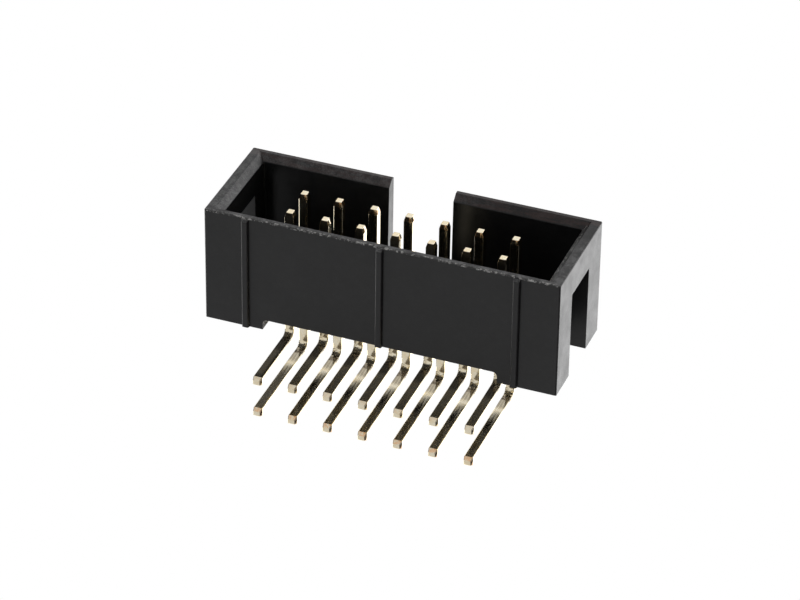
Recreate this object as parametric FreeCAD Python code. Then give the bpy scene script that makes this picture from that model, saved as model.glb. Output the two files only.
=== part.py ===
import FreeCAD, Part
import math
import os

# Right-angle shrouded box header with two rows of square contacts, in millimetres.
# Frame of the finished part: +Z leaves the plug mouth, -Y faces the circuit board,
# X runs along the rows, and the origin is the middle of the base of the whole part.
# The shapes are drawn about the middle of the contact grid, with Z = 0 under the feet.

# Contact grid
PITCH = 2.54
ROW_SPACING = 2.54
CONTACTS_PER_ROW = 7

# Contact wire, pressed through the floor and bent towards the board
WIRE_WIDTH = 0.64
WIRE_CORNER_CUT = 0.06
BEND_INNER_RADIUS = 0.45
PIN_HEIGHT = 5.65
SHORT_TAIL_DROP = 2.19
TAIL_PAST_RIBS = 2.93
EAR_WIDTH = 0.34
EAR_LENGTH = 0.7

# Coined tips of the wire: the side flats face along the row, the broad flats across it
PIN_TIP_LENGTH = 0.36
PIN_TIP_SIDE_INSET = 0.1
PIN_TIP_BROAD_INSET = 0.07
TAIL_TIP_LENGTH = 0.3
TAIL_TIP_SIDE_INSET = 0.07
TAIL_TIP_BROAD_INSET = 0.14

# Housing, outer block: allowances run from the outermost contacts to the outer faces
HOUSING_HEIGHT = 8.7
END_ALLOWANCE = 5.03
SIDE_ALLOWANCE = 3.03
OUTER_EDGE_RADIUS = 0.1

# Plug cavity: walls are given at the foot of the lead-in chamfer
SIDE_WALL = 0.85
END_WALL = 1.12
LEAD_IN_SIDE = 0.48
LEAD_IN_END = 0.47
LEAD_IN_DEPTH = 0.45
CAVITY_DEPTH = 6.43
CAVITY_DRAFT_DEG = 1.2
CAVITY_CORNER_RADIUS = 0.15

# Base: two end feet with a shallow recess between them, and one hole per contact
FOOT_LENGTH = 4.2
FOOT_HEIGHT = 0.79
FOOT_CORNER_RADIUS = 0.33
HOLE_CLEARANCE = 0.03

# Slots: one for the plug's key in the far wall, one up each end wall from below
KEY_SLOT_WIDTH = 4.64
END_SLOT_WIDTH = 3.5
END_SLOT_BRIDGE = 2.21
END_SLOT_PAST_WALL = 0.78

# Stand-off ribs on the wall that faces the board
RIB_BASE = 0.54
RIB_CREST = 0.42
RIB_HEIGHT = 0.22
RIB_CREST_RADIUS = 0.08
RIB_TOP_GAP = 0.12
RIB_TOP_BEVEL = 0.14
RIB_TO_FOOT_END = 1.21
RIB_ROOT = 0.2

# Sunken triangle that marks the first contact on the far wall
MARK_SIZE = 1.3
MARK_DEPTH = 0.12
MARK_RIM_GAP = 0.7

# How far a cutting tool reaches past the face that it opens
OVERSHOOT = 1.0

HALF_LENGTH = (CONTACTS_PER_ROW - 1) * PITCH / 2 + END_ALLOWANCE
HALF_WIDTH = ROW_SPACING / 2 + SIDE_ALLOWANCE
HALF_WIRE = WIRE_WIDTH / 2
FLOOR_TOP_Z = HOUSING_HEIGHT - CAVITY_DEPTH
CONTACT_TOP_Z = FLOOR_TOP_Z + PIN_HEIGHT
LONG_TAIL_DROP = SHORT_TAIL_DROP + ROW_SPACING
TAIL_REACH = HALF_WIDTH + RIB_HEIGHT + TAIL_PAST_RIBS

# From the grid's own frame to the middle of the part's base
PART_SHIFT = FreeCAD.Vector(0, (TAIL_REACH - HALF_WIDTH) / 2, LONG_TAIL_DROP + HALF_WIRE)

X_AXIS = FreeCAD.Vector(1, 0, 0)
Z_AXIS = FreeCAD.Vector(0, 0, 1)


def box(x_range, y_range, z_range):
    """A block between two corners."""
    low = FreeCAD.Vector(x_range[0], y_range[0], z_range[0])
    sides = (x_range[1] - x_range[0], y_range[1] - y_range[0], z_range[1] - z_range[0])
    return Part.makeBox(*sides, low)


def frustum(low_size, low_z, high_size, high_z):
    """A block about the Z axis whose length and width change evenly between two heights."""
    low_x, low_y = low_size[0] / 2, low_size[1] / 2
    high_x, high_y = high_size[0] / 2, high_size[1] / 2
    wedge = Part.makeWedge(
        -low_x, 0, -low_y, -high_y, -high_x, low_x, high_z - low_z, low_y, high_y, high_x
    )
    wedge.rotate(FreeCAD.Vector(), X_AXIS, 90)
    wedge.translate(FreeCAD.Vector(0, 0, low_z))
    return wedge


def block_with_broken_edges():
    """The outer block, its upright edges and its rim's outer edge lightly rounded."""
    block = box((-HALF_LENGTH, HALF_LENGTH), (-HALF_WIDTH, HALF_WIDTH), (0, HOUSING_HEIGHT))
    low_edges = [edge for edge in block.Edges if edge.BoundBox.ZMax < HOUSING_HEIGHT / 2]
    kept = [edge for edge in block.Edges if not any(edge.isSame(low) for low in low_edges)]
    return block.makeFillet(OUTER_EDGE_RADIUS, kept)


def cavity():
    """The plug's space: it narrows a little towards the floor and flares at the mouth."""
    length = 2 * (HALF_LENGTH - END_WALL)
    width = 2 * (HALF_WIDTH - SIDE_WALL)
    mouth_z = HOUSING_HEIGHT - LEAD_IN_DEPTH
    draft = 2 * (mouth_z - FLOOR_TOP_Z) * math.tan(math.radians(CAVITY_DRAFT_DEG))
    well = frustum((length - draft, width - draft), FLOOR_TOP_Z, (length, width), mouth_z)
    corners = [edge for edge in well.Edges if edge.BoundBox.ZLength > well.BoundBox.ZLength / 2]
    well = well.makeFillet(CAVITY_CORNER_RADIUS, corners)
    mouth_size = (length + 2 * LEAD_IN_END, width + 2 * LEAD_IN_SIDE)
    return well.fuse(frustum((length, width), mouth_z, mouth_size, HOUSING_HEIGHT))


def recess_between_feet():
    """The shallow space under the base that the tails pass through, up to the far wall."""
    end_x = HALF_LENGTH - FOOT_LENGTH
    wall_y = HALF_WIDTH - SIDE_WALL
    low = box((-end_x, end_x), (-HALF_WIDTH, wall_y), (-OVERSHOOT, FOOT_HEIGHT))
    corners = [
        edge
        for edge in low.Edges
        if edge.BoundBox.ZMin > 0 and edge.BoundBox.XLength < edge.BoundBox.YLength
    ]
    return low.makeFillet(FOOT_CORNER_RADIUS, corners)


def end_slots():
    """One tall notch up each end, open below and through to the cavity."""
    half = END_SLOT_WIDTH / 2
    inner_x = HALF_LENGTH - END_WALL - END_SLOT_PAST_WALL
    top_z = HOUSING_HEIGHT - END_SLOT_BRIDGE
    right = box((inner_x, HALF_LENGTH + OVERSHOOT), (-half, half), (-OVERSHOOT, top_z))
    return [right, right.mirror(FreeCAD.Vector(), X_AXIS)]


def key_slot():
    """The opening in the far wall for the plug's key, from the floor up through the rim."""
    half = KEY_SLOT_WIDTH / 2
    inner_y = HALF_WIDTH - SIDE_WALL - OVERSHOOT
    return box(
        (-half, half), (inner_y, HALF_WIDTH + OVERSHOOT), (FLOOR_TOP_Z, HOUSING_HEIGHT + OVERSHOOT)
    )


def contact_places():
    """Number, row name, X and Y of every contact in the grid."""
    places = []
    for row, y in (("short", -ROW_SPACING / 2), ("long", ROW_SPACING / 2)):
        for number in range(CONTACTS_PER_ROW):
            x = (number - (CONTACTS_PER_ROW - 1) / 2) * PITCH
            places.append((number + 1, row, x, y))
    return places


def contact_holes():
    """A square hole through the floor for every contact."""
    half = HALF_WIRE + HOLE_CLEARANCE
    return [
        box((x - half, x + half), (y - half, y + half), (0, FLOOR_TOP_Z + OVERSHOOT))
        for _, _, x, y in contact_places()
    ]


def rib(x, bottom_z):
    """One stand-off rib: a rounded ridge rooted in the wall, with a bevelled top."""
    wall_y = -HALF_WIDTH
    crest_y = wall_y - RIB_HEIGHT
    top_z = HOUSING_HEIGHT - RIB_TOP_GAP
    outline = [
        (-RIB_BASE / 2, wall_y + RIB_ROOT),
        (-RIB_BASE / 2, wall_y),
        (-RIB_CREST / 2, crest_y),
        (RIB_CREST / 2, crest_y),
        (RIB_BASE / 2, wall_y),
        (RIB_BASE / 2, wall_y + RIB_ROOT),
    ]
    points = [FreeCAD.Vector(x + dx, y, bottom_z) for dx, y in outline]
    ridge = Part.Face(Part.makePolygon(points + points[:1])).extrude(Z_AXIS * (top_z - bottom_z))
    crest_edges = [
        edge
        for edge in ridge.Edges
        if edge.BoundBox.YMax < wall_y and edge.BoundBox.ZLength > edge.BoundBox.XLength
    ]
    ridge = ridge.makeFillet(RIB_CREST_RADIUS, crest_edges)
    bevel = [
        FreeCAD.Vector(x - RIB_BASE, crest_y - RIB_TOP_BEVEL, top_z - 2 * RIB_TOP_BEVEL),
        FreeCAD.Vector(x - RIB_BASE, crest_y + RIB_TOP_BEVEL, top_z),
        FreeCAD.Vector(x - RIB_BASE, crest_y - RIB_TOP_BEVEL, top_z),
    ]
    wedge = Part.Face(Part.makePolygon(bevel + bevel[:1])).extrude(X_AXIS * (2 * RIB_BASE))
    return ridge.cut(wedge)


def ribs():
    """A rib near each end, down to the foot, and one in the middle, down to the recess."""
    end_x = HALF_LENGTH - FOOT_LENGTH + RIB_TO_FOOT_END
    return [rib(-end_x, 0), rib(0, FOOT_HEIGHT), rib(end_x, 0)]


def first_contact_mark():
    """A shallow triangle sunk in the far wall over the first contact, pointing at the rim."""
    x = contact_places()[0][2]
    tip_z = HOUSING_HEIGHT - MARK_RIM_GAP
    height = MARK_SIZE * math.sqrt(3) / 2
    face_y = HALF_WIDTH - MARK_DEPTH
    points = [
        FreeCAD.Vector(x, face_y, tip_z),
        FreeCAD.Vector(x - MARK_SIZE / 2, face_y, tip_z - height),
        FreeCAD.Vector(x + MARK_SIZE / 2, face_y, tip_z - height),
    ]
    outline = Part.Face(Part.makePolygon(points + points[:1]))
    return outline.extrude(FreeCAD.Vector(0, MARK_DEPTH + OVERSHOOT, 0))


def make_housing():
    """The moulded housing, one solid."""
    body = block_with_broken_edges()
    body = body.fuse(ribs())
    body = body.cut([cavity(), recess_between_feet(), key_slot()] + end_slots())
    body = body.cut(contact_holes() + [first_contact_mark()])
    return body.removeSplitter()


def wire_section(z):
    """The wire's cross-section, level at height z: a square with its corners cut off."""
    flat = HALF_WIRE - WIRE_CORNER_CUT
    points = []
    for quarter in range(4):
        turn = FreeCAD.Rotation(Z_AXIS, 90 * quarter)
        points += [
            turn.multVec(FreeCAD.Vector(HALF_WIRE, -flat, z)),
            turn.multVec(FreeCAD.Vector(HALF_WIRE, flat, z)),
        ]
    return Part.Face(Part.makePolygon(points + points[:1]))


def pointed_wire(low_z, high_z, tip_length, side_inset, broad_inset):
    """A straight wire on the Z axis with four flats that narrow its upper end."""
    end_size = (WIRE_WIDTH - 2 * side_inset, WIRE_WIDTH - 2 * broad_inset)
    shoulder_z = high_z - tip_length
    wire = wire_section(low_z).extrude(Z_AXIS * (high_z - low_z))
    tip = frustum((WIRE_WIDTH, WIRE_WIDTH), shoulder_z, end_size, high_z)
    half = WIRE_WIDTH
    shank = box((-half, half), (-half, half), (low_z, shoulder_z))
    return wire.common(shank.fuse(tip))


def ears():
    """The two small swellings that grip the sides of the hole in the floor."""
    reach = HALF_WIRE + HOLE_CLEARANCE
    middle_z = (FOOT_HEIGHT + FLOOR_TOP_Z) / 2
    return box(
        (-reach, reach),
        (-EAR_WIDTH / 2, EAR_WIDTH / 2),
        (middle_z - EAR_LENGTH / 2, middle_z + EAR_LENGTH / 2),
    )


def make_contact(x, y, tail_drop):
    """One contact: a pin up through the floor, a bend below it and a level tail to the board."""
    bend_offset = HALF_WIRE + BEND_INNER_RADIUS
    bend_z = bend_offset - tail_drop
    pin_tip = (PIN_TIP_LENGTH, PIN_TIP_SIDE_INSET, PIN_TIP_BROAD_INSET)
    pin = pointed_wire(bend_z, CONTACT_TOP_Z, *pin_tip)
    bend = wire_section(bend_z).revolve(FreeCAD.Vector(0, -bend_offset, bend_z), X_AXIS, -90)
    tail_tip = (TAIL_TIP_LENGTH, TAIL_TIP_SIDE_INSET, TAIL_TIP_BROAD_INSET)
    tail = pointed_wire(0, TAIL_REACH + y - bend_offset, *tail_tip)
    tail.rotate(FreeCAD.Vector(), X_AXIS, 90)
    tail.translate(FreeCAD.Vector(0, -bend_offset, -tail_drop))
    contact = pin.fuse([bend, tail, ears()]).removeSplitter()
    contact.translate(FreeCAD.Vector(x, y, 0))
    return contact


def save(shape, name):
    """Move a shape to the part's frame and write it."""
    shape.translate(PART_SHIFT)
    shape.exportStep(os.path.join("parts", name + ".step"))
    print(name, "solids", len(shape.Solids), "volume", round(shape.Volume, 4), "valid", shape.isValid())


def main():
    """Write every piece of the header."""
    os.makedirs("parts", exist_ok=True)
    save(make_housing(), "housing")
    drops = {"short": SHORT_TAIL_DROP, "long": LONG_TAIL_DROP}
    for number, row, x, y in contact_places():
        save(make_contact(x, y, drops[row]), f"{row}_contact_{number}")


main()
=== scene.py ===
"""Dresses a packed right-angle box header: a black moulded housing and gold-plated contacts.

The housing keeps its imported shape. Each contact is drawn again in the same form and place, because
its finish follows the drawn wire. A white floor, soft light and the camera complete the scene.
"""

import logging
import math
from dataclasses import dataclass, field
from enum import Enum

import bmesh
import bpy
from mathutils import Matrix, Quaternion, Vector


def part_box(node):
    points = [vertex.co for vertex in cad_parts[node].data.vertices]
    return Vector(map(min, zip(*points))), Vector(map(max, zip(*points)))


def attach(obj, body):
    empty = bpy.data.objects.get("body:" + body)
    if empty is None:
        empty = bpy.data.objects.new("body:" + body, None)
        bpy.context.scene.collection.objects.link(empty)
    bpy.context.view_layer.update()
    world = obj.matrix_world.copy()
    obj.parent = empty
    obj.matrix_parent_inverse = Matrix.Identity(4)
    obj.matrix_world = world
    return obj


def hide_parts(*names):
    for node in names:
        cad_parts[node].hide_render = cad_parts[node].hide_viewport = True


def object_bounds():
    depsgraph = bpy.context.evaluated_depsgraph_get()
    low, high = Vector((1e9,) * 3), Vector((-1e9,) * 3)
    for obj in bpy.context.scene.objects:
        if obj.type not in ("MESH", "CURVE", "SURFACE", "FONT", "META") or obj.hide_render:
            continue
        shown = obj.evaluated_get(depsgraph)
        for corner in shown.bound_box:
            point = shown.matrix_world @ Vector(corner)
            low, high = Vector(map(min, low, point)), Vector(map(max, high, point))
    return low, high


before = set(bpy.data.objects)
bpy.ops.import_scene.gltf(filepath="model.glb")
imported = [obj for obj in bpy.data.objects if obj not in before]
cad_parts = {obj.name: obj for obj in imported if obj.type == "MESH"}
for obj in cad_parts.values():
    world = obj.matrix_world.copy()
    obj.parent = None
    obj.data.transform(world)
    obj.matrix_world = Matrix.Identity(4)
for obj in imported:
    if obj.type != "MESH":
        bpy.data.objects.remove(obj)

CAD_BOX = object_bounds()
LOG = logging.getLogger("box_header")
MM = 0.001
BODY = "root"
HOUSING_NODE = "housing"
LONG_ROW_WEAR = 1.0
SHORT_ROW_WEAR = 0.35

Triple = tuple[float, float, float]
Colour = Triple
Pair = tuple[float, float]
Run = tuple[float, float, float, float]
Socket = bpy.types.NodeSocket
Outputs = bpy.types.NodeOutputs


class Slot(Enum):
    """The record's material slots."""

    PLASTIC = "moulded_plastic"
    GOLD = "gold_plating"


class Row(Enum):
    """The two rows of contacts, by the first word of their node names."""

    SHORT = "short"
    LONG = "long"

    def nodes(self) -> list[str]:
        """The row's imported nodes, in order along the row."""
        return sorted(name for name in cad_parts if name.startswith(self.value + "_contact"))

    def wear(self) -> float:
        """How far the coined tips of the row's contacts have lost their gold."""
        return LONG_ROW_WEAR if self is Row.LONG else SHORT_ROW_WEAR


@dataclass(frozen=True)
class Spots:
    """The scale of a mottled pattern.

    Args:
        size: The size of its larger spots, in metres.
        fine: The share of the finer spots.
    """

    size: float
    fine: float


@dataclass
class Graph:
    """A small helper that adds and joins nodes in one node tree.

    Args:
        tree: The node tree that is filled.
        mottle: The shared mottle group, for a tree that places it.
    """

    tree: bpy.types.NodeTree
    mottle: bpy.types.NodeTree | None = None

    def add(self, kind: str, **settings: object) -> bpy.types.Node:
        """Adds a node.

        Args:
            kind: The node's type name, such as ShaderNodeTexNoise.
            settings: Attributes of the node, and values of its sockets by name with
                spaces written as underscores.

        Returns:
            The new node.
        """
        node = self.tree.nodes.new(kind)
        for name, value in settings.items():
            socket = node.inputs.get(name.replace("_", " "))
            if socket is not None:
                socket.default_value = value
            else:
                setattr(node, name, value)
        return node

    def join(self, source: Socket, target: Socket) -> None:
        """Links an output to an input."""
        self.tree.links.new(source, target)

    def fade(
        self, value: Socket, start: float, end: float, low: float = 0.0, high: float = 1.0
    ) -> Socket:
        """Maps a value smoothly from one range to another.

        Args:
            value: The socket that is read.
            start: The value where the result is low.
            end: The value where the result is high.
            low: The result before start.
            high: The result after end.

        Returns:
            The result's socket.
        """
        ramp = self.add("ShaderNodeMapRange", interpolation_type="SMOOTHSTEP")
        ramp.inputs["From Min"].default_value = start
        ramp.inputs["From Max"].default_value = end
        ramp.inputs["To Min"].default_value = low
        ramp.inputs["To Max"].default_value = high
        self.join(value, ramp.inputs["Value"])
        return ramp.outputs["Result"]

    def between(self, mask: Socket, low: float, high: float) -> Socket:
        """Turns a mask from 0 to 1 into a smooth change from low to high."""
        return self.fade(mask, 0.0, 1.0, low, high)

    def maths(self, operation: str, first: Socket | float, second: Socket | float) -> Socket:
        """Works out one sum, product or the like.

        Args:
            operation: The Math node's operation.
            first: A socket or a number.
            second: A socket or a number.

        Returns:
            The result's socket.
        """
        node = self.add("ShaderNodeMath", operation=operation)
        for socket, value in zip(node.inputs, (first, second)):
            if isinstance(value, Socket):
                self.join(value, socket)
            else:
                socket.default_value = value
        return node.outputs[0]

    def product(self, first: Socket, *others: Socket | float) -> Socket:
        """Multiplies a socket by others or by numbers.

        Args:
            first: The first factor.
            others: The other factors.

        Returns:
            The product's socket.
        """
        for factor in others:
            first = self.maths("MULTIPLY", first, factor)
        return first

    def blend(self, factor: Socket, start: Socket | Colour, end: Socket | Colour) -> Socket:
        """Mixes two colours.

        Args:
            factor: The share of the second colour.
            start: A colour or a colour socket.
            end: A colour or a colour socket.

        Returns:
            The mixed colour's socket.
        """
        node = self.add("ShaderNodeMix", data_type="RGBA")
        self.join(factor, node.inputs["Factor"])
        for name, value in (("A", start), ("B", end)):
            if isinstance(value, Socket):
                self.join(value, node.inputs[name])
            else:
                node.inputs[name].default_value = (*value, 1.0)
        return node.outputs["Result"]

    def split(self, vector: Socket) -> Outputs:
        """Takes a vector apart.

        Args:
            vector: The vector's socket.

        Returns:
            The outputs X, Y and Z.
        """
        node = self.add("ShaderNodeSeparateXYZ")
        self.join(vector, node.inputs["Vector"])
        return node.outputs

    def stretch(self, vector: Socket, scale: Triple) -> Socket:
        """Scales coordinates, so that a pattern on them is drawn out.

        Args:
            vector: The coordinates.
            scale: The factor along each axis.

        Returns:
            The scaled coordinates.
        """
        node = self.add("ShaderNodeMapping")
        node.inputs["Scale"].default_value = scale
        self.join(vector, node.inputs["Vector"])
        return node.outputs["Vector"]

    def mottled(self, place: Socket, spots: Spots) -> Socket:
        """Places the shared mottle group once.

        Args:
            place: The coordinates it reads.
            spots: The scale of its pattern.

        Returns:
            The group's value output.
        """
        node = self.add("ShaderNodeGroup", node_tree=self.mottle)
        node.inputs["Size"].default_value = spots.size
        node.inputs["Fine Share"].default_value = spots.fine
        self.join(place, node.inputs["Place"])
        return node.outputs["Value"]

    def bump(self, height: Socket, distance: float, normal: Socket | None = None) -> Socket:
        """Adds a relief.

        Args:
            height: The relief's value from 0 to 1.
            distance: Its full height in metres.
            normal: The normal that it is laid on.

        Returns:
            The new normal.
        """
        node = self.add("ShaderNodeBump", Distance=distance)
        self.join(height, node.inputs["Height"])
        if normal is not None:
            self.join(normal, node.inputs["Normal"])
        return node.outputs["Normal"]


@dataclass(frozen=True)
class Mottle:
    """The shared pattern: two sizes of soft noise laid over each other."""

    coarse_detail: float = 2.0
    coarse_roughness: float = 0.5
    fine_detail: float = 3.0
    fine_roughness: float = 0.6
    fine_factor: float = 5.3

    def group(self) -> bpy.types.NodeTree:
        """Builds the pattern's node group.

        Returns:
            The group, with inputs Place, Size and Fine Share, and with output Value, a value
            about one half.
        """
        tree = bpy.data.node_groups.new("mottle", "ShaderNodeTree")
        for title, kind in (("Place", "Vector"), ("Size", "Float"), ("Fine Share", "Float")):
            tree.interface.new_socket(name=title, in_out="INPUT", socket_type="NodeSocket" + kind)
        tree.interface.new_socket(name="Value", in_out="OUTPUT", socket_type="NodeSocketFloat")
        graph = Graph(tree)
        given = graph.add("NodeGroupInput").outputs
        made = graph.add("NodeGroupOutput")
        scale = graph.maths("DIVIDE", 1.0, given["Size"])
        coarse = graph.add("ShaderNodeTexNoise", Detail=self.coarse_detail, Roughness=self.coarse_roughness)
        fine = graph.add("ShaderNodeTexNoise", Detail=self.fine_detail, Roughness=self.fine_roughness)
        for noise, factor in ((coarse, scale), (fine, graph.product(scale, self.fine_factor))):
            graph.join(given["Place"], noise.inputs["Vector"])
            graph.join(factor, noise.inputs["Scale"])
        mixed = graph.add("ShaderNodeMix", data_type="FLOAT")
        graph.join(given["Fine Share"], mixed.inputs["Factor"])
        graph.join(coarse.outputs["Fac"], mixed.inputs["A"])
        graph.join(fine.outputs["Fac"], mixed.inputs["B"])
        graph.join(mixed.outputs["Result"], made.inputs["Value"])
        return tree


@dataclass(frozen=True)
class MouldedPlastic:
    """Black glass-filled plastic as it leaves the mould, scuffed along its rim, with a painted highlight on
    the flash along its upper edges.

    Each pair of places or facings says where a mask starts and where it is full.
    """

    dark: Colour = (0.008, 0.008, 0.0086)
    light: Colour = (0.015, 0.015, 0.016)
    scuffed: Colour = (0.27, 0.268, 0.27)
    warm: Colour = (0.05, 0.026, 0.023)
    # painted highlight: a pale colour for the light that the flash on the upper edges catches
    flash_highlight: Colour = (0.75, 0.74, 0.72)
    roughness: Pair = (0.28, 0.38)
    roughness_fade: Pair = (0.3, 0.7)
    scuff_roughness: float = 0.12
    underside_roughness: float = 0.2
    underside_facing: Pair = (-0.6, -0.9)
    specular_level: float = 0.37
    cloud_spots: Spots = Spots(1.6 * MM, 0.35)
    scuff_spots: Spots = Spots(0.55 * MM, 0.5)
    scuff_fade: Pair = (0.4, 0.66)
    scuff_least: float = 0.2
    scuff_off_rim: float = 0.02
    scuff_y: Pair = (5.6 * MM, -2.6 * MM)
    scuff_share: Pair = (0.42, 0.7)
    clean_x: Pair = (-3.0 * MM, 9.0 * MM)
    clean_y: Pair = (2.0 * MM, 4.5 * MM)
    clean_share: float = 0.2
    end_wall_x: Pair = (11.2 * MM, 11.4 * MM)
    lead_in_facing: Pair = (-0.3, -0.6)
    lead_in_boost: float = 2.2
    lead_in_edge_x: Pair = (11.95 * MM, 11.75 * MM)
    flash_highlight_spots: Spots = Spots(0.2 * MM, 0.4)
    flash_highlight_fade: Pair = (0.52, 0.6)
    flash_highlight_least: float = 0.03
    flash_highlight_y: Pair = (-2.57 * MM, -2.66 * MM)
    flash_highlight_z: Pair = (13.6 * MM, 13.68 * MM)
    warm_spots: Spots = Spots(0.25 * MM, 0.4)
    warm_stretch: float = 6.0
    warm_fade: Pair = (0.38, 0.58)
    warm_y: Pair = (5.0 * MM, 5.1 * MM)
    rim_z: Pair = (13.25 * MM, 13.4 * MM)
    rim_facing: Pair = (0.3, 0.6)
    rim_ripple_spots: Spots = Spots(0.35 * MM, 0.35)
    rim_ripple_height: float = 0.02 * MM
    ripple_spots: Spots = Spots(0.7 * MM, 0.3)
    ripple_height: float = 0.008 * MM
    grain_spots: Spots = Spots(0.09 * MM, 0.4)
    grain_height: float = 0.004 * MM
    edge_radius: float = 0.05 * MM
    edge_samples: int = 4

    def material(self, mottle: bpy.types.NodeTree) -> bpy.types.Material:
        """Builds the material.

        Args:
            mottle: The shared mottle group.

        Returns:
            The finished material.
        """
        material = bpy.data.materials.new("black_moulded_plastic")
        material.use_nodes = True
        graph = Graph(material.node_tree, mottle)
        shader = graph.tree.nodes["Principled BSDF"]
        shader.inputs["Specular IOR Level"].default_value = self.specular_level
        place = graph.add("ShaderNodeTexCoord").outputs["Object"]
        parts = graph.split(place)
        facing = graph.split(graph.add("ShaderNodeNewGeometry").outputs["Normal"])
        rim = graph.product(graph.fade(parts["Z"], *self.rim_z), graph.fade(facing["Z"], *self.rim_facing))
        end_wall = graph.product(rim, graph.fade(parts["X"], *self.end_wall_x))
        end_lead_in = graph.product(end_wall, graph.fade(facing["X"], *self.lead_in_facing))
        cloud = graph.mottled(place, self.cloud_spots)
        scuff = self._scuff(graph, place, parts, rim)
        scuff = graph.product(scuff, graph.between(end_lead_in, 1.0, self.lead_in_boost))
        drag = self._warm_streak(graph, place, parts, rim)
        # painted highlight along the near wall's upper edge and the edge of one lead-in
        highlight_crumbs = self._painted_flash_highlight(graph, place, parts, end_lead_in)
        colour = graph.blend(cloud, self.dark, self.light)
        colour = graph.blend(drag, colour, self.warm)
        colour = graph.blend(scuff, colour, self.scuffed)
        # paints the highlight on the flash over the plastic's colour
        colour = graph.blend(highlight_crumbs, colour, self.flash_highlight)
        graph.join(colour, shader.inputs["Base Color"])
        underside = graph.fade(facing["Z"], *self.underside_facing, 0.0, self.underside_roughness)
        rough = graph.fade(cloud, *self.roughness_fade, *self.roughness)
        rough = graph.maths("ADD", rough, graph.product(scuff, self.scuff_roughness))
        rough = graph.maths("ADD", rough, underside)
        graph.join(rough, shader.inputs["Roughness"])
        graph.join(self._relief(graph, place, rim), shader.inputs["Normal"])
        return material

    def _scuff(self, graph: Graph, place: Socket, parts: Outputs, rim: Socket) -> Socket:
        """Marks small pale scuffs: most on the near rim, few at the far right, faint below the rim.

        Args:
            graph: The material's graph.
            place: The object's coordinates.
            parts: The same coordinates taken apart.
            rim: One on the rim and its lead-in, zero below.

        Returns:
            The share of scuffed surface.
        """
        mottled = graph.mottled(place, self.scuff_spots)
        spots = graph.fade(mottled, *self.scuff_fade, self.scuff_least, 1.0)
        amount = graph.between(rim, self.scuff_off_rim, 1.0)
        side = graph.fade(parts["Y"], *self.scuff_y, *self.scuff_share)
        clean = graph.product(graph.fade(parts["X"], *self.clean_x), graph.fade(parts["Y"], *self.clean_y))
        side = graph.product(side, graph.between(clean, 1.0, self.clean_share))
        return graph.product(spots, amount, side)

    def _painted_flash_highlight(self, graph: Graph, place: Socket, parts: Outputs, end_lead_in: Socket) -> Socket:
        """Marks the crumbs of flash along the near wall's upper edge and one lead-in, painted pale as a
        highlight where these edges catch the light.

        Args:
            graph: The material's graph.
            place: The object's coordinates.
            parts: The same coordinates taken apart.
            end_lead_in: One on the lead-in of the right end wall, zero elsewhere.

        Returns:
            The share of painted highlight on the flash.
        """
        mottled = graph.mottled(place, self.flash_highlight_spots)
        highlight_crumbs = graph.fade(mottled, *self.flash_highlight_fade, self.flash_highlight_least, 1.0)
        edge = graph.product(graph.fade(parts["Y"], *self.flash_highlight_y), graph.fade(parts["Z"], *self.flash_highlight_z))
        inner = graph.product(end_lead_in, graph.fade(parts["X"], *self.lead_in_edge_x))
        return graph.product(highlight_crumbs, graph.maths("MAXIMUM", edge, inner))

    def _warm_streak(self, graph: Graph, place: Socket, parts: Outputs, rim: Socket) -> Socket:
        """Marks the brownish drag lines along the far lead-in.

        Args:
            graph: The material's graph.
            place: The object's coordinates.
            parts: The same coordinates taken apart.
            rim: One on the rim and its lead-in, zero below.

        Returns:
            The share of brownish surface.
        """
        drawn = graph.stretch(place, (1 / self.warm_stretch, 1.0, 1.0))
        lines = graph.fade(graph.mottled(drawn, self.warm_spots), *self.warm_fade)
        return graph.product(lines, graph.fade(parts["Y"], *self.warm_y), rim)

    def _relief(self, graph: Graph, place: Socket, rim: Socket) -> Socket:
        """Lays the broken edges, the ripples, the rim's own ripples and the grain over each other.

        Args:
            graph: The material's graph.
            place: The object's coordinates.
            rim: One on the rim and its lead-in, zero below.

        Returns:
            The surface's normal.
        """
        soft_edge = graph.add("ShaderNodeBevel", samples=self.edge_samples, Radius=self.edge_radius)
        ripple = graph.mottled(place, self.ripple_spots)
        normal = graph.bump(ripple, self.ripple_height, soft_edge.outputs["Normal"])
        waves = graph.product(graph.mottled(place, self.rim_ripple_spots), rim)
        normal = graph.bump(waves, self.rim_ripple_height, normal)
        return graph.bump(graph.mottled(place, self.grain_spots), self.grain_height, normal)


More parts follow.
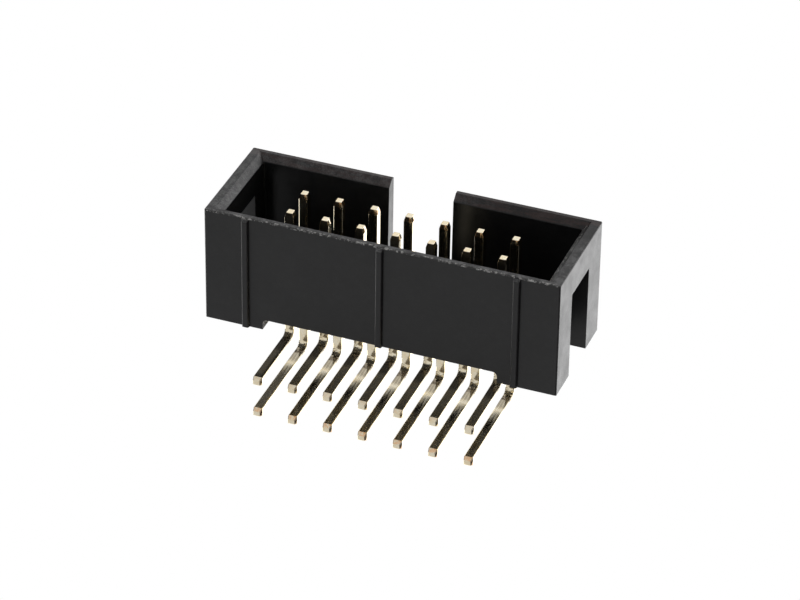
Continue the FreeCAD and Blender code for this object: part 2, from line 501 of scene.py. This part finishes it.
@dataclass(frozen=True)
class GoldPlating:
    """Thin bright gold over drawn square wire, with copper showing at the coined tips.

    On the wire's inner side, the bend is crinkled and darkened by painted shade in its crease under the
    housing, and a short run of the tail before it is darkened by painted shade for the dark housing and
    legs that it reflects. Each run says where it starts, is full, starts to fade out and ends along the
    wire.
    """

    cream: Colour = (0.96, 0.88, 0.69)
    deep: Colour = (0.94, 0.8, 0.55)
    copper: Colour = (0.93, 0.6, 0.36)
    # painted shade: darkens the inner side of the bend, in its crease under the housing
    painted_bend_shade: Colour = (0.27, 0.225, 0.165)
    # painted shade: darkens the tail's top before the bend, for the dark legs and housing that it reflects
    painted_tail_shade: Colour = (0.36, 0.315, 0.235)
    roughness: Pair = (0.05, 0.2)
    roughness_fade: Pair = (0.3, 0.7)
    patch_spots: Spots = Spots(0.5 * MM, 0.4)
    patch_fade: Pair = (0.4, 0.62)
    streak_spots: Spots = Spots(0.05 * MM, 0.2)
    streak_length: float = 1.4 * MM
    streak_height: float = 0.0004 * MM
    copper_spots: Spots = Spots(0.2 * MM, 0.4)
    copper_fade: Pair = (0.4, 0.56)
    inner_side: Pair = (0.0, -0.25 * MM)
    crinkle_spots: Spots = Spots(0.2 * MM, 0.4)
    crinkle_fade: Pair = (0.53, 0.62)
    crinkle_height: float = 0.045 * MM
    crinkle_run: Run = (-0.6 * MM, -0.35 * MM, 0.7 * MM, 0.85 * MM)
    bend_shade_run: Run = (-0.64 * MM, -0.46 * MM, -0.1 * MM, 0.25 * MM)
    bend_shade_on_crinkles: float = 0.3
    tail_shade_run: Run = (-1.9 * MM, -1.3 * MM, -0.4 * MM, -0.2 * MM)
    tail_shade_fade: Pair = (0.25, 0.5)
    tail_shade_share: float = 0.95

    def material(self, mottle: bpy.types.NodeTree) -> bpy.types.Material:
        """Builds the material.

        Args:
            mottle: The shared mottle group.

        Returns:
            The finished material.
        """
        material = bpy.data.materials.new("gold_plating")
        material.use_nodes = True
        graph = Graph(material.node_tree, mottle)
        shader = graph.tree.nodes["Principled BSDF"]
        shader.inputs["Metallic"].default_value = 1.0
        wire = graph.add("ShaderNodeAttribute", attribute_name=Contact.WIRE_SPACE).outputs["Vector"]
        place = graph.add("ShaderNodeTexCoord").outputs["Object"]
        drawn = graph.stretch(wire, (1.0, 1.0, self.streak_spots.size / self.streak_length))
        streak = graph.mottled(drawn, self.streak_spots)
        patch = graph.fade(graph.mottled(place, self.patch_spots), *self.patch_fade)
        crinkle = graph.fade(graph.mottled(place, self.crinkle_spots), *self.crinkle_fade)
        # painted shade on the tail's top before the bend, streaked along the wire
        tail_shade = graph.fade(streak, *self.tail_shade_fade)
        tail_shade = graph.product(self._inner_side(graph, wire, self.tail_shade_run), tail_shade, self.tail_shade_share)
        # painted shade on the bend's inner side, thinner on the crinkles
        bend_shaded = graph.between(crinkle, 1.0, self.bend_shade_on_crinkles)
        bend_shaded = graph.product(self._inner_side(graph, wire, self.bend_shade_run), bend_shaded)
        colour = graph.blend(patch, self.cream, self.deep)
        colour = graph.blend(self._bared(graph, place), colour, self.copper)
        colour = graph.blend(tail_shade, colour, self.painted_tail_shade)
        colour = graph.blend(bend_shaded, colour, self.painted_bend_shade)
        graph.join(colour, shader.inputs["Base Color"])
        graph.join(graph.fade(streak, *self.roughness_fade, *self.roughness), shader.inputs["Roughness"])
        normal = graph.bump(streak, self.streak_height)
        height = graph.product(crinkle, self._inner_side(graph, wire, self.crinkle_run))
        graph.join(graph.bump(height, self.crinkle_height, normal), shader.inputs["Normal"])
        return material

    def _bared(self, graph: Graph, place: Socket) -> Socket:
        """Marks where the coined flats have lost their gold.

        Args:
            graph: The material's graph.
            place: The object's coordinates.

        Returns:
            The share of bare copper.
        """
        coined = graph.add("ShaderNodeAttribute", attribute_name=Contact.COINED).outputs["Fac"]
        spots = graph.fade(graph.mottled(place, self.copper_spots), *self.copper_fade)
        return graph.product(spots, coined)

    def _inner_side(self, graph: Graph, wire: Socket, run: Run) -> Socket:
        """Marks a run of the side of the wire that lies inside the bend.

        Args:
            graph: The material's graph.
            wire: The coordinates across and along the wire.
            run: Where the run fades in and out along the wire.

        Returns:
            One on that side of the run, zero elsewhere.
        """
        parts = graph.split(wire)
        start, full, fall, end = run
        zone = graph.product(graph.fade(parts["Z"], start, full), graph.fade(parts["Z"], end, fall))
        return graph.product(zone, graph.fade(parts["Y"], *self.inner_side))


@dataclass(frozen=True)
class Tip:
    """One coined end of a wire: four flats that narrow it.

    Args:
        length: The flats' length along the wire.
        side_inset: How far the flats that face along the row come in.
        broad_inset: How far the other two flats come in.
    """

    length: float
    side_inset: float
    broad_inset: float

    def scale(self, width: float) -> Pair:
        """The end face's size as shares of the wire's width, along the row and across it."""
        return 1 - 2 * self.side_inset / width, 1 - 2 * self.broad_inset / width


@dataclass
class Contact:
    """One square wire: a pointed pin, a bend below the housing and a tail to the board.

    Args:
        node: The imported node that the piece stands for.
        finish: Its material.
        wear: How far the coined flats have lost their gold, from 0 to 1.
    """

    WIRE_SPACE = "wire_space"
    COINED = "coined"

    node: str
    finish: bpy.types.Material
    wear: float
    wire_width: float = 0.64 * MM
    corner_radius: float = 0.06 * MM
    corner_steps: int = 3
    bend_inner_radius: float = 0.45 * MM
    bend_steps: int = 24
    pin_tip: Tip = Tip(0.36 * MM, 0.1 * MM, 0.07 * MM)
    tail_tip: Tip = Tip(0.3 * MM, 0.07 * MM, 0.14 * MM)
    end_edge: float = 0.015 * MM
    end_edge_steps: int = 2
    end_facing: float = 0.9
    ear_height: float = 1.53 * MM
    ear_length: float = 0.7 * MM
    ear_width: float = 0.34 * MM
    ear_reach: float = 0.03 * MM
    ear_facing: float = 0.99
    smooth_up_to: float = 35.0
    low: Vector = field(init=False)
    high: Vector = field(init=False)

    def __post_init__(self) -> None:
        """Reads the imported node's box."""
        self.low, self.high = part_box(self.node)

    @property
    def bend_radius(self) -> float:
        """Radius of the wire's centreline in the bend."""
        return self.bend_inner_radius + self.wire_width / 2

    @property
    def pin_axis(self) -> Vector:
        """The point where the pin's centreline meets the tail's."""
        half = self.wire_width / 2
        return Vector(((self.low.x + self.high.x) / 2, self.high.y - half, self.low.z + half))

    @property
    def bend_centre(self) -> Vector:
        """The point that the bend turns about."""
        return self.pin_axis + Vector((0, -self.bend_radius, self.bend_radius))

    @property
    def ear_slope(self) -> float:
        """Width of the slope round an ear, which leaves the ear at its own width."""
        return (self.wire_width - 2 * self.corner_radius - self.ear_width) / 2

    @property
    def ear_low(self) -> float:
        """Height where the lower end of the ears' slopes starts."""
        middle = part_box(HOUSING_NODE)[0].z + self.ear_height
        return middle - self.ear_length / 2 - self.ear_slope

    def build(self) -> bpy.types.Object:
        """Makes the contact's mesh and dresses it.

        Returns:
            The new piece.
        """
        mesh = bpy.data.meshes.new(self.node + "_wire")
        shape = bmesh.new()
        self._draw_wire(shape)
        self._press_ears(shape)
        self._soften_ends(shape)
        bmesh.ops.recalc_face_normals(shape, faces=shape.faces[:])
        shape.to_mesh(mesh)
        shape.free()
        self._store_wire_space(mesh)
        self._store_coined(mesh)
        piece = bpy.data.objects.new(self.node + "_plated", mesh)
        bpy.context.scene.collection.objects.link(piece)
        even = piece.modifiers.new("even_normals", "WEIGHTED_NORMAL")
        even.keep_sharp = True
        mesh.materials.append(self.finish)
        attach(piece, BODY)
        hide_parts(self.node)
        return piece

    def _draw_wire(self, shape: bmesh.types.BMesh) -> None:
        """Draws the whole wire from the tail's end to the pin's.

        Args:
            shape: The mesh that is filled.
        """
        corner = self.pin_axis
        pin_foot = corner.z + self.bend_radius
        shoulder = self.high.z - self.pin_tip.length
        tail_run = corner.y - self.bend_radius - self.low.y - self.tail_tip.length
        face = self._section(shape)
        wide, tall = self.tail_tip.scale(self.wire_width)
        face = self._lengthen(shape, face, Vector((0, self.tail_tip.length, 0)), (1 / wide, 1, 1 / tall))
        self._crease(face)
        face = self._lengthen(shape, face, Vector((0, tail_run, 0)))
        face = self._bend(shape, face)
        level = pin_foot
        for top in (self.ear_low, self.ear_low + self.ear_length + 2 * self.ear_slope, shoulder):
            face = self._lengthen(shape, face, Vector((0, 0, top - level)))
            level = top
        self._crease(face)
        wide, deep = self.pin_tip.scale(self.wire_width)
        self._lengthen(shape, face, Vector((0, 0, self.pin_tip.length)), (wide, deep, 1))

    def _section(self, shape: bmesh.types.BMesh) -> bmesh.types.BMFace:
        """Starts the wire with the narrow face at the tail's end.

        Args:
            shape: The mesh that is filled.

        Returns:
            The face, upright, with its rounded corners.
        """
        made = bmesh.ops.create_grid(shape, x_segments=1, y_segments=1, size=self.wire_width / 2)
        bmesh.ops.bevel(
            shape,
            geom=made["verts"],
            offset=self.corner_radius,
            offset_type="OFFSET",
            segments=self.corner_steps,
            profile=0.5,
            affect="VERTICES",
            material=-1,
        )
        corner = self.pin_axis
        turn = Matrix.Rotation(math.radians(90), 4, "X")
        place = Matrix.Translation((corner.x, self.low.y, corner.z))
        wide, tall = self.tail_tip.scale(self.wire_width)
        size = Matrix.Diagonal((wide, tall, 1, 1))
        bmesh.ops.transform(shape, matrix=place @ turn @ size, verts=shape.verts[:])
        return shape.faces[:][0]

    @staticmethod
    def _crease(face: bmesh.types.BMFace) -> None:
        """Marks the edges round a section as crisp."""
        for edge in face.edges:
            edge.smooth = False

    @staticmethod
    def _new_face(made: list[object]) -> bmesh.types.BMFace:
        """The one face among the corners and edges that an operator has made."""
        return next(item for item in made if isinstance(item, bmesh.types.BMFace))

    def _lengthen(
        self, shape: bmesh.types.BMesh, face: bmesh.types.BMFace, step: Vector, scale: Triple = (1, 1, 1)
    ) -> bmesh.types.BMFace:
        """Extrudes the end face along a step, and widens or narrows it.

        Args:
            shape: The mesh that is filled.
            face: The wire's end face.
            step: The extrusion.
            scale: The new face's size along each axis as a share of the old one's.

        Returns:
            The new end face.
        """
        made = bmesh.ops.extrude_face_region(shape, geom=[face])
        end = self._new_face(made["geom"])
        about = Matrix.Translation(end.calc_center_median())
        size = Matrix.Diagonal((*scale, 1))
        move = Matrix.Translation(step) @ about @ size @ about.inverted()
        bmesh.ops.transform(shape, matrix=move, verts=end.verts[:])
        return end

    def _bend(self, shape: bmesh.types.BMesh, face: bmesh.types.BMFace) -> bmesh.types.BMFace:
        """Turns the wire from the tail's direction up into the pin's.

        Args:
            shape: The mesh that is filled.
            face: The end face of the level run.

        Returns:
            The level face at the foot of the pin.
        """
        made = bmesh.ops.spin(
            shape,
            geom=[face],
            cent=self.bend_centre,
            axis=(1, 0, 0),
            angle=math.radians(90),
            steps=self.bend_steps,
            use_merge=False,
            use_duplicate=False,
        )
        return self._new_face(made["geom_last"])

    def _press_ears(self, shape: bmesh.types.BMesh) -> None:
        """Swells the wire's two sides where it grips the housing's floor.

        Args:
            shape: The mesh that is changed.
        """
        middle = self.ear_low + self.ear_slope + self.ear_length / 2
        sides = [
            face
            for face in shape.faces
            if abs(face.calc_center_median().z - middle) < self.ear_reach
            and abs(face.normal.x) > self.ear_facing
        ]
        bmesh.ops.inset_individual(shape, faces=sides, thickness=self.ear_slope, use_even_offset=True)
        for face in sides:
            outward = self.ear_reach if face.calc_center_median().x > self.pin_axis.x else -self.ear_reach
            bmesh.ops.translate(shape, vec=(outward, 0, 0), verts=face.verts[:])

    def _soften_ends(self, shape: bmesh.types.BMesh) -> None:
        """Breaks the edges round the two end faces, the only ones with more than four corners.

        Args:
            shape: The mesh that is changed.
        """
        ends = [face for face in shape.faces if len(face.verts) > 4]
        edges = [edge for face in ends for edge in face.edges]
        bmesh.ops.bevel(
            shape,
            geom=edges,
            offset=self.end_edge,
            offset_type="OFFSET",
            segments=self.end_edge_steps,
            profile=0.5,
            affect="EDGES",
            clamp_overlap=True,
            material=-1,
        )

    def _store_wire_space(self, mesh: bpy.types.Mesh) -> None:
        """Stores each point's place across and along the wire, which the finish follows.

        Args:
            mesh: The contact's mesh.
        """
        corner = self.pin_axis
        centre = self.bend_centre
        quarter = self.bend_radius * math.pi / 2
        places = []
        for vertex in mesh.vertices:
            point = vertex.co
            across = point.x - corner.x
            if point.z > centre.z:
                outward = point.y - corner.y
                along = quarter + point.z - centre.z
            elif point.y < centre.y:
                outward = corner.z - point.z
                along = point.y - centre.y
            else:
                arm = Vector((point.y - centre.y, centre.z - point.z))
                outward = arm.length - self.bend_radius
                along = self.bend_radius * math.atan2(arm.x, arm.y)
            places.extend((across, outward, along))
        attribute = mesh.attributes.new(self.WIRE_SPACE, "FLOAT_VECTOR", "POINT")
        attribute.data.foreach_set("vector", places)

    def _store_coined(self, mesh: bpy.types.Mesh) -> None:
        """Marks the flats of the two tips, where the plating is worn, and smooths the rest.

        Args:
            mesh: The contact's mesh.
        """
        tail_end = self.low.y + self.tail_tip.length
        pin_end = self.high.z - self.pin_tip.length
        coined = []
        for face in mesh.polygons:
            on_tail = face.center.y < tail_end and face.normal.y > -self.end_facing
            on_pin = face.center.z > pin_end and face.normal.z < self.end_facing
            coined.append(self.wear if on_tail or on_pin else 0.0)
        creases = [edge.index for edge in mesh.edges if edge.use_edge_sharp]
        mesh.attributes.new(self.COINED, "FLOAT", "FACE").data.foreach_set("value", coined)
        mesh.shade_smooth()
        mesh.set_sharp_from_angle(angle=math.radians(self.smooth_up_to))
        for index in creases:
            mesh.edges[index].use_edge_sharp = True


@dataclass
class Housing:
    """The moulded housing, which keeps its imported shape.

    Args:
        finish: Its material.
    """

    finish: bpy.types.Material

    def build(self) -> bpy.types.Object:
        """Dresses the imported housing.

        Returns:
            The housing's object.
        """
        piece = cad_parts[HOUSING_NODE]
        if not piece.material_slots:
            piece.data.materials.append(self.finish)
        for place in piece.material_slots:
            place.material = self.finish
        return piece


@dataclass(frozen=True)
class Softbox:
    """A soft patch of light far away from the object.

    Args:
        towards: The direction in which it stands.
        full: Angle from its middle, in degrees, up to which it has its full strength.
        gone: Angle at which nothing of it is left.
        strength: Its brightness.
    """

    towards: Triple
    full: float
    gone: float
    strength: float

    def add(self, graph: Graph, direction: Socket) -> Socket:
        """Adds the patch to the sky.

        Args:
            graph: The sky's graph.
            direction: The direction that is looked at.

        Returns:
            The patch's brightness in that direction.
        """
        node = graph.add("ShaderNodeVectorMath", operation="DOT_PRODUCT")
        graph.join(direction, node.inputs[0])
        node.inputs[1].default_value = Vector(self.towards).normalized()
        edge = math.cos(math.radians(self.gone))
        middle = math.cos(math.radians(self.full))
        return graph.fade(node.outputs["Value"], edge, middle, 0.0, self.strength)


@dataclass
class Studio:
    """A white floor, softboxes all round and the camera."""

    aim: Triple = (-0.41 * MM, 2.335 * MM, 6.342 * MM)
    distance: float = 270.99 * MM
    azimuth: float = 20.511
    elevation: float = 33.532
    roll: float = 0.871
    lens: float = 178.89
    sensor_width: float = 36.0
    clip_start: float = 0.01
    clip_end: float = 10.0
    floor_size: float = 2.0
    dimmest: float = 0.05
    softboxes: tuple[Softbox, ...] = (
        Softbox((0.30, 0.80, -0.50), 16, 32, 2.2),
        Softbox((0.55, 0.78, 0.32), 11, 21, 2.6),
        Softbox((-0.29, 0.78, 0.55), 16, 27, 0.9),
        Softbox((-0.25, 0.10, 0.96), 18, 42, 0.6),
        Softbox((-0.27, -0.42, 0.87), 14, 27, 0.65),
        Softbox((-0.29, -0.93, 0.12), 24, 31, 0.66),
        Softbox((-0.30, -0.65, -0.70), 20, 36, 0.63),
        Softbox((-0.82, -0.14, -0.55), 9, 18, 4.5),
        Softbox((-0.45, 0.75, -0.50), 16, 30, 1.2),
        Softbox((0.0, 0.0, -1.0), 30, 50, 1.6),
        Softbox((0.97, 0.10, 0.10), 25, 36, 0.5),
    )

    def build(self) -> None:
        """Makes the floor, the light and the camera."""
        self._floor()
        self._sky()
        self._camera()

    def _floor(self) -> None:
        """Lays the white floor under the tails, which only the camera sees."""
        mesh = bpy.data.meshes.new("floor")
        shape = bmesh.new()
        bmesh.ops.create_grid(shape, x_segments=1, y_segments=1, size=self.floor_size / 2)
        bmesh.ops.translate(shape, vec=(0, 0, CAD_BOX[0].z), verts=shape.verts[:])
        shape.to_mesh(mesh)
        shape.free()
        material = bpy.data.materials.new("studio_white")
        material.use_nodes = True
        graph = Graph(material.node_tree)
        graph.tree.nodes.remove(graph.tree.nodes["Principled BSDF"])
        glow = graph.add("ShaderNodeEmission", Strength=1.0)
        graph.join(glow.outputs["Emission"], graph.tree.nodes["Material Output"].inputs["Surface"])
        mesh.materials.append(material)
        floor = bpy.data.objects.new("floor", mesh)
        bpy.context.scene.collection.objects.link(floor)
        floor.visible_diffuse = False
        floor.visible_glossy = False
        floor.visible_transmission = False
        floor.visible_shadow = False

    def _sky(self) -> None:
        """Surrounds the object with the softboxes, plain white where the camera sees them."""
        world = bpy.data.worlds.new("soft_white")
        world.use_nodes = True
        graph = Graph(world.node_tree)
        direction = graph.add("ShaderNodeTexCoord").outputs["Generated"]
        light = self.dimmest
        for softbox in self.softboxes:
            light = graph.maths("MAXIMUM", light, softbox.add(graph, direction))
        seen = graph.add("ShaderNodeMix", data_type="FLOAT")
        seen.inputs["B"].default_value = 1.0
        graph.join(graph.add("ShaderNodeLightPath").outputs["Is Camera Ray"], seen.inputs["Factor"])
        graph.join(light, seen.inputs["A"])
        background = graph.tree.nodes["Background"]
        background.inputs["Color"].default_value = (1.0, 1.0, 1.0, 1.0)
        graph.join(seen.outputs["Result"], background.inputs["Strength"])
        bpy.context.scene.world = world
        bpy.context.scene.view_settings.view_transform = "Standard"

    def _camera(self) -> None:
        """Sets the camera at the photograph's viewing angle."""
        azimuth, elevation = math.radians(self.azimuth), math.radians(self.elevation)
        level = math.cos(elevation)
        forward = Vector((-math.sin(azimuth) * level, math.cos(azimuth) * level, -math.sin(elevation)))
        data = bpy.data.cameras.new("camera")
        data.lens = self.lens
        data.sensor_width = self.sensor_width
        data.sensor_fit = "HORIZONTAL"
        data.clip_start = self.clip_start
        data.clip_end = self.clip_end
        camera = bpy.data.objects.new("camera", data)
        camera.rotation_mode = "QUATERNION"
        turn = forward.to_track_quat("-Z", "Y")
        camera.rotation_quaternion = turn @ Quaternion((0, 0, 1), math.radians(self.roll))
        camera.location = Vector(self.aim) - forward * self.distance
        bpy.context.scene.collection.objects.link(camera)
        bpy.context.scene.camera = camera


def report(piece: bpy.types.Object, slot: Slot) -> None:
    """Logs a finished piece and the slot of its finish."""
    LOG.info("%s: %d faces, %s", piece.name, len(piece.data.polygons), slot.value)


def main() -> None:
    """Builds the header's pieces and the studio."""
    logging.basicConfig(level=logging.INFO, format="%(message)s")
    mottle = Mottle().group()
    plastic = MouldedPlastic().material(mottle)
    gold = GoldPlating().material(mottle)
    report(Housing(plastic).build(), Slot.PLASTIC)
    for row in Row:
        for node in row.nodes():
            report(Contact(node, gold, row.wear()).build(), Slot.GOLD)
    Studio().build()


if __name__ == "__main__":
    main()
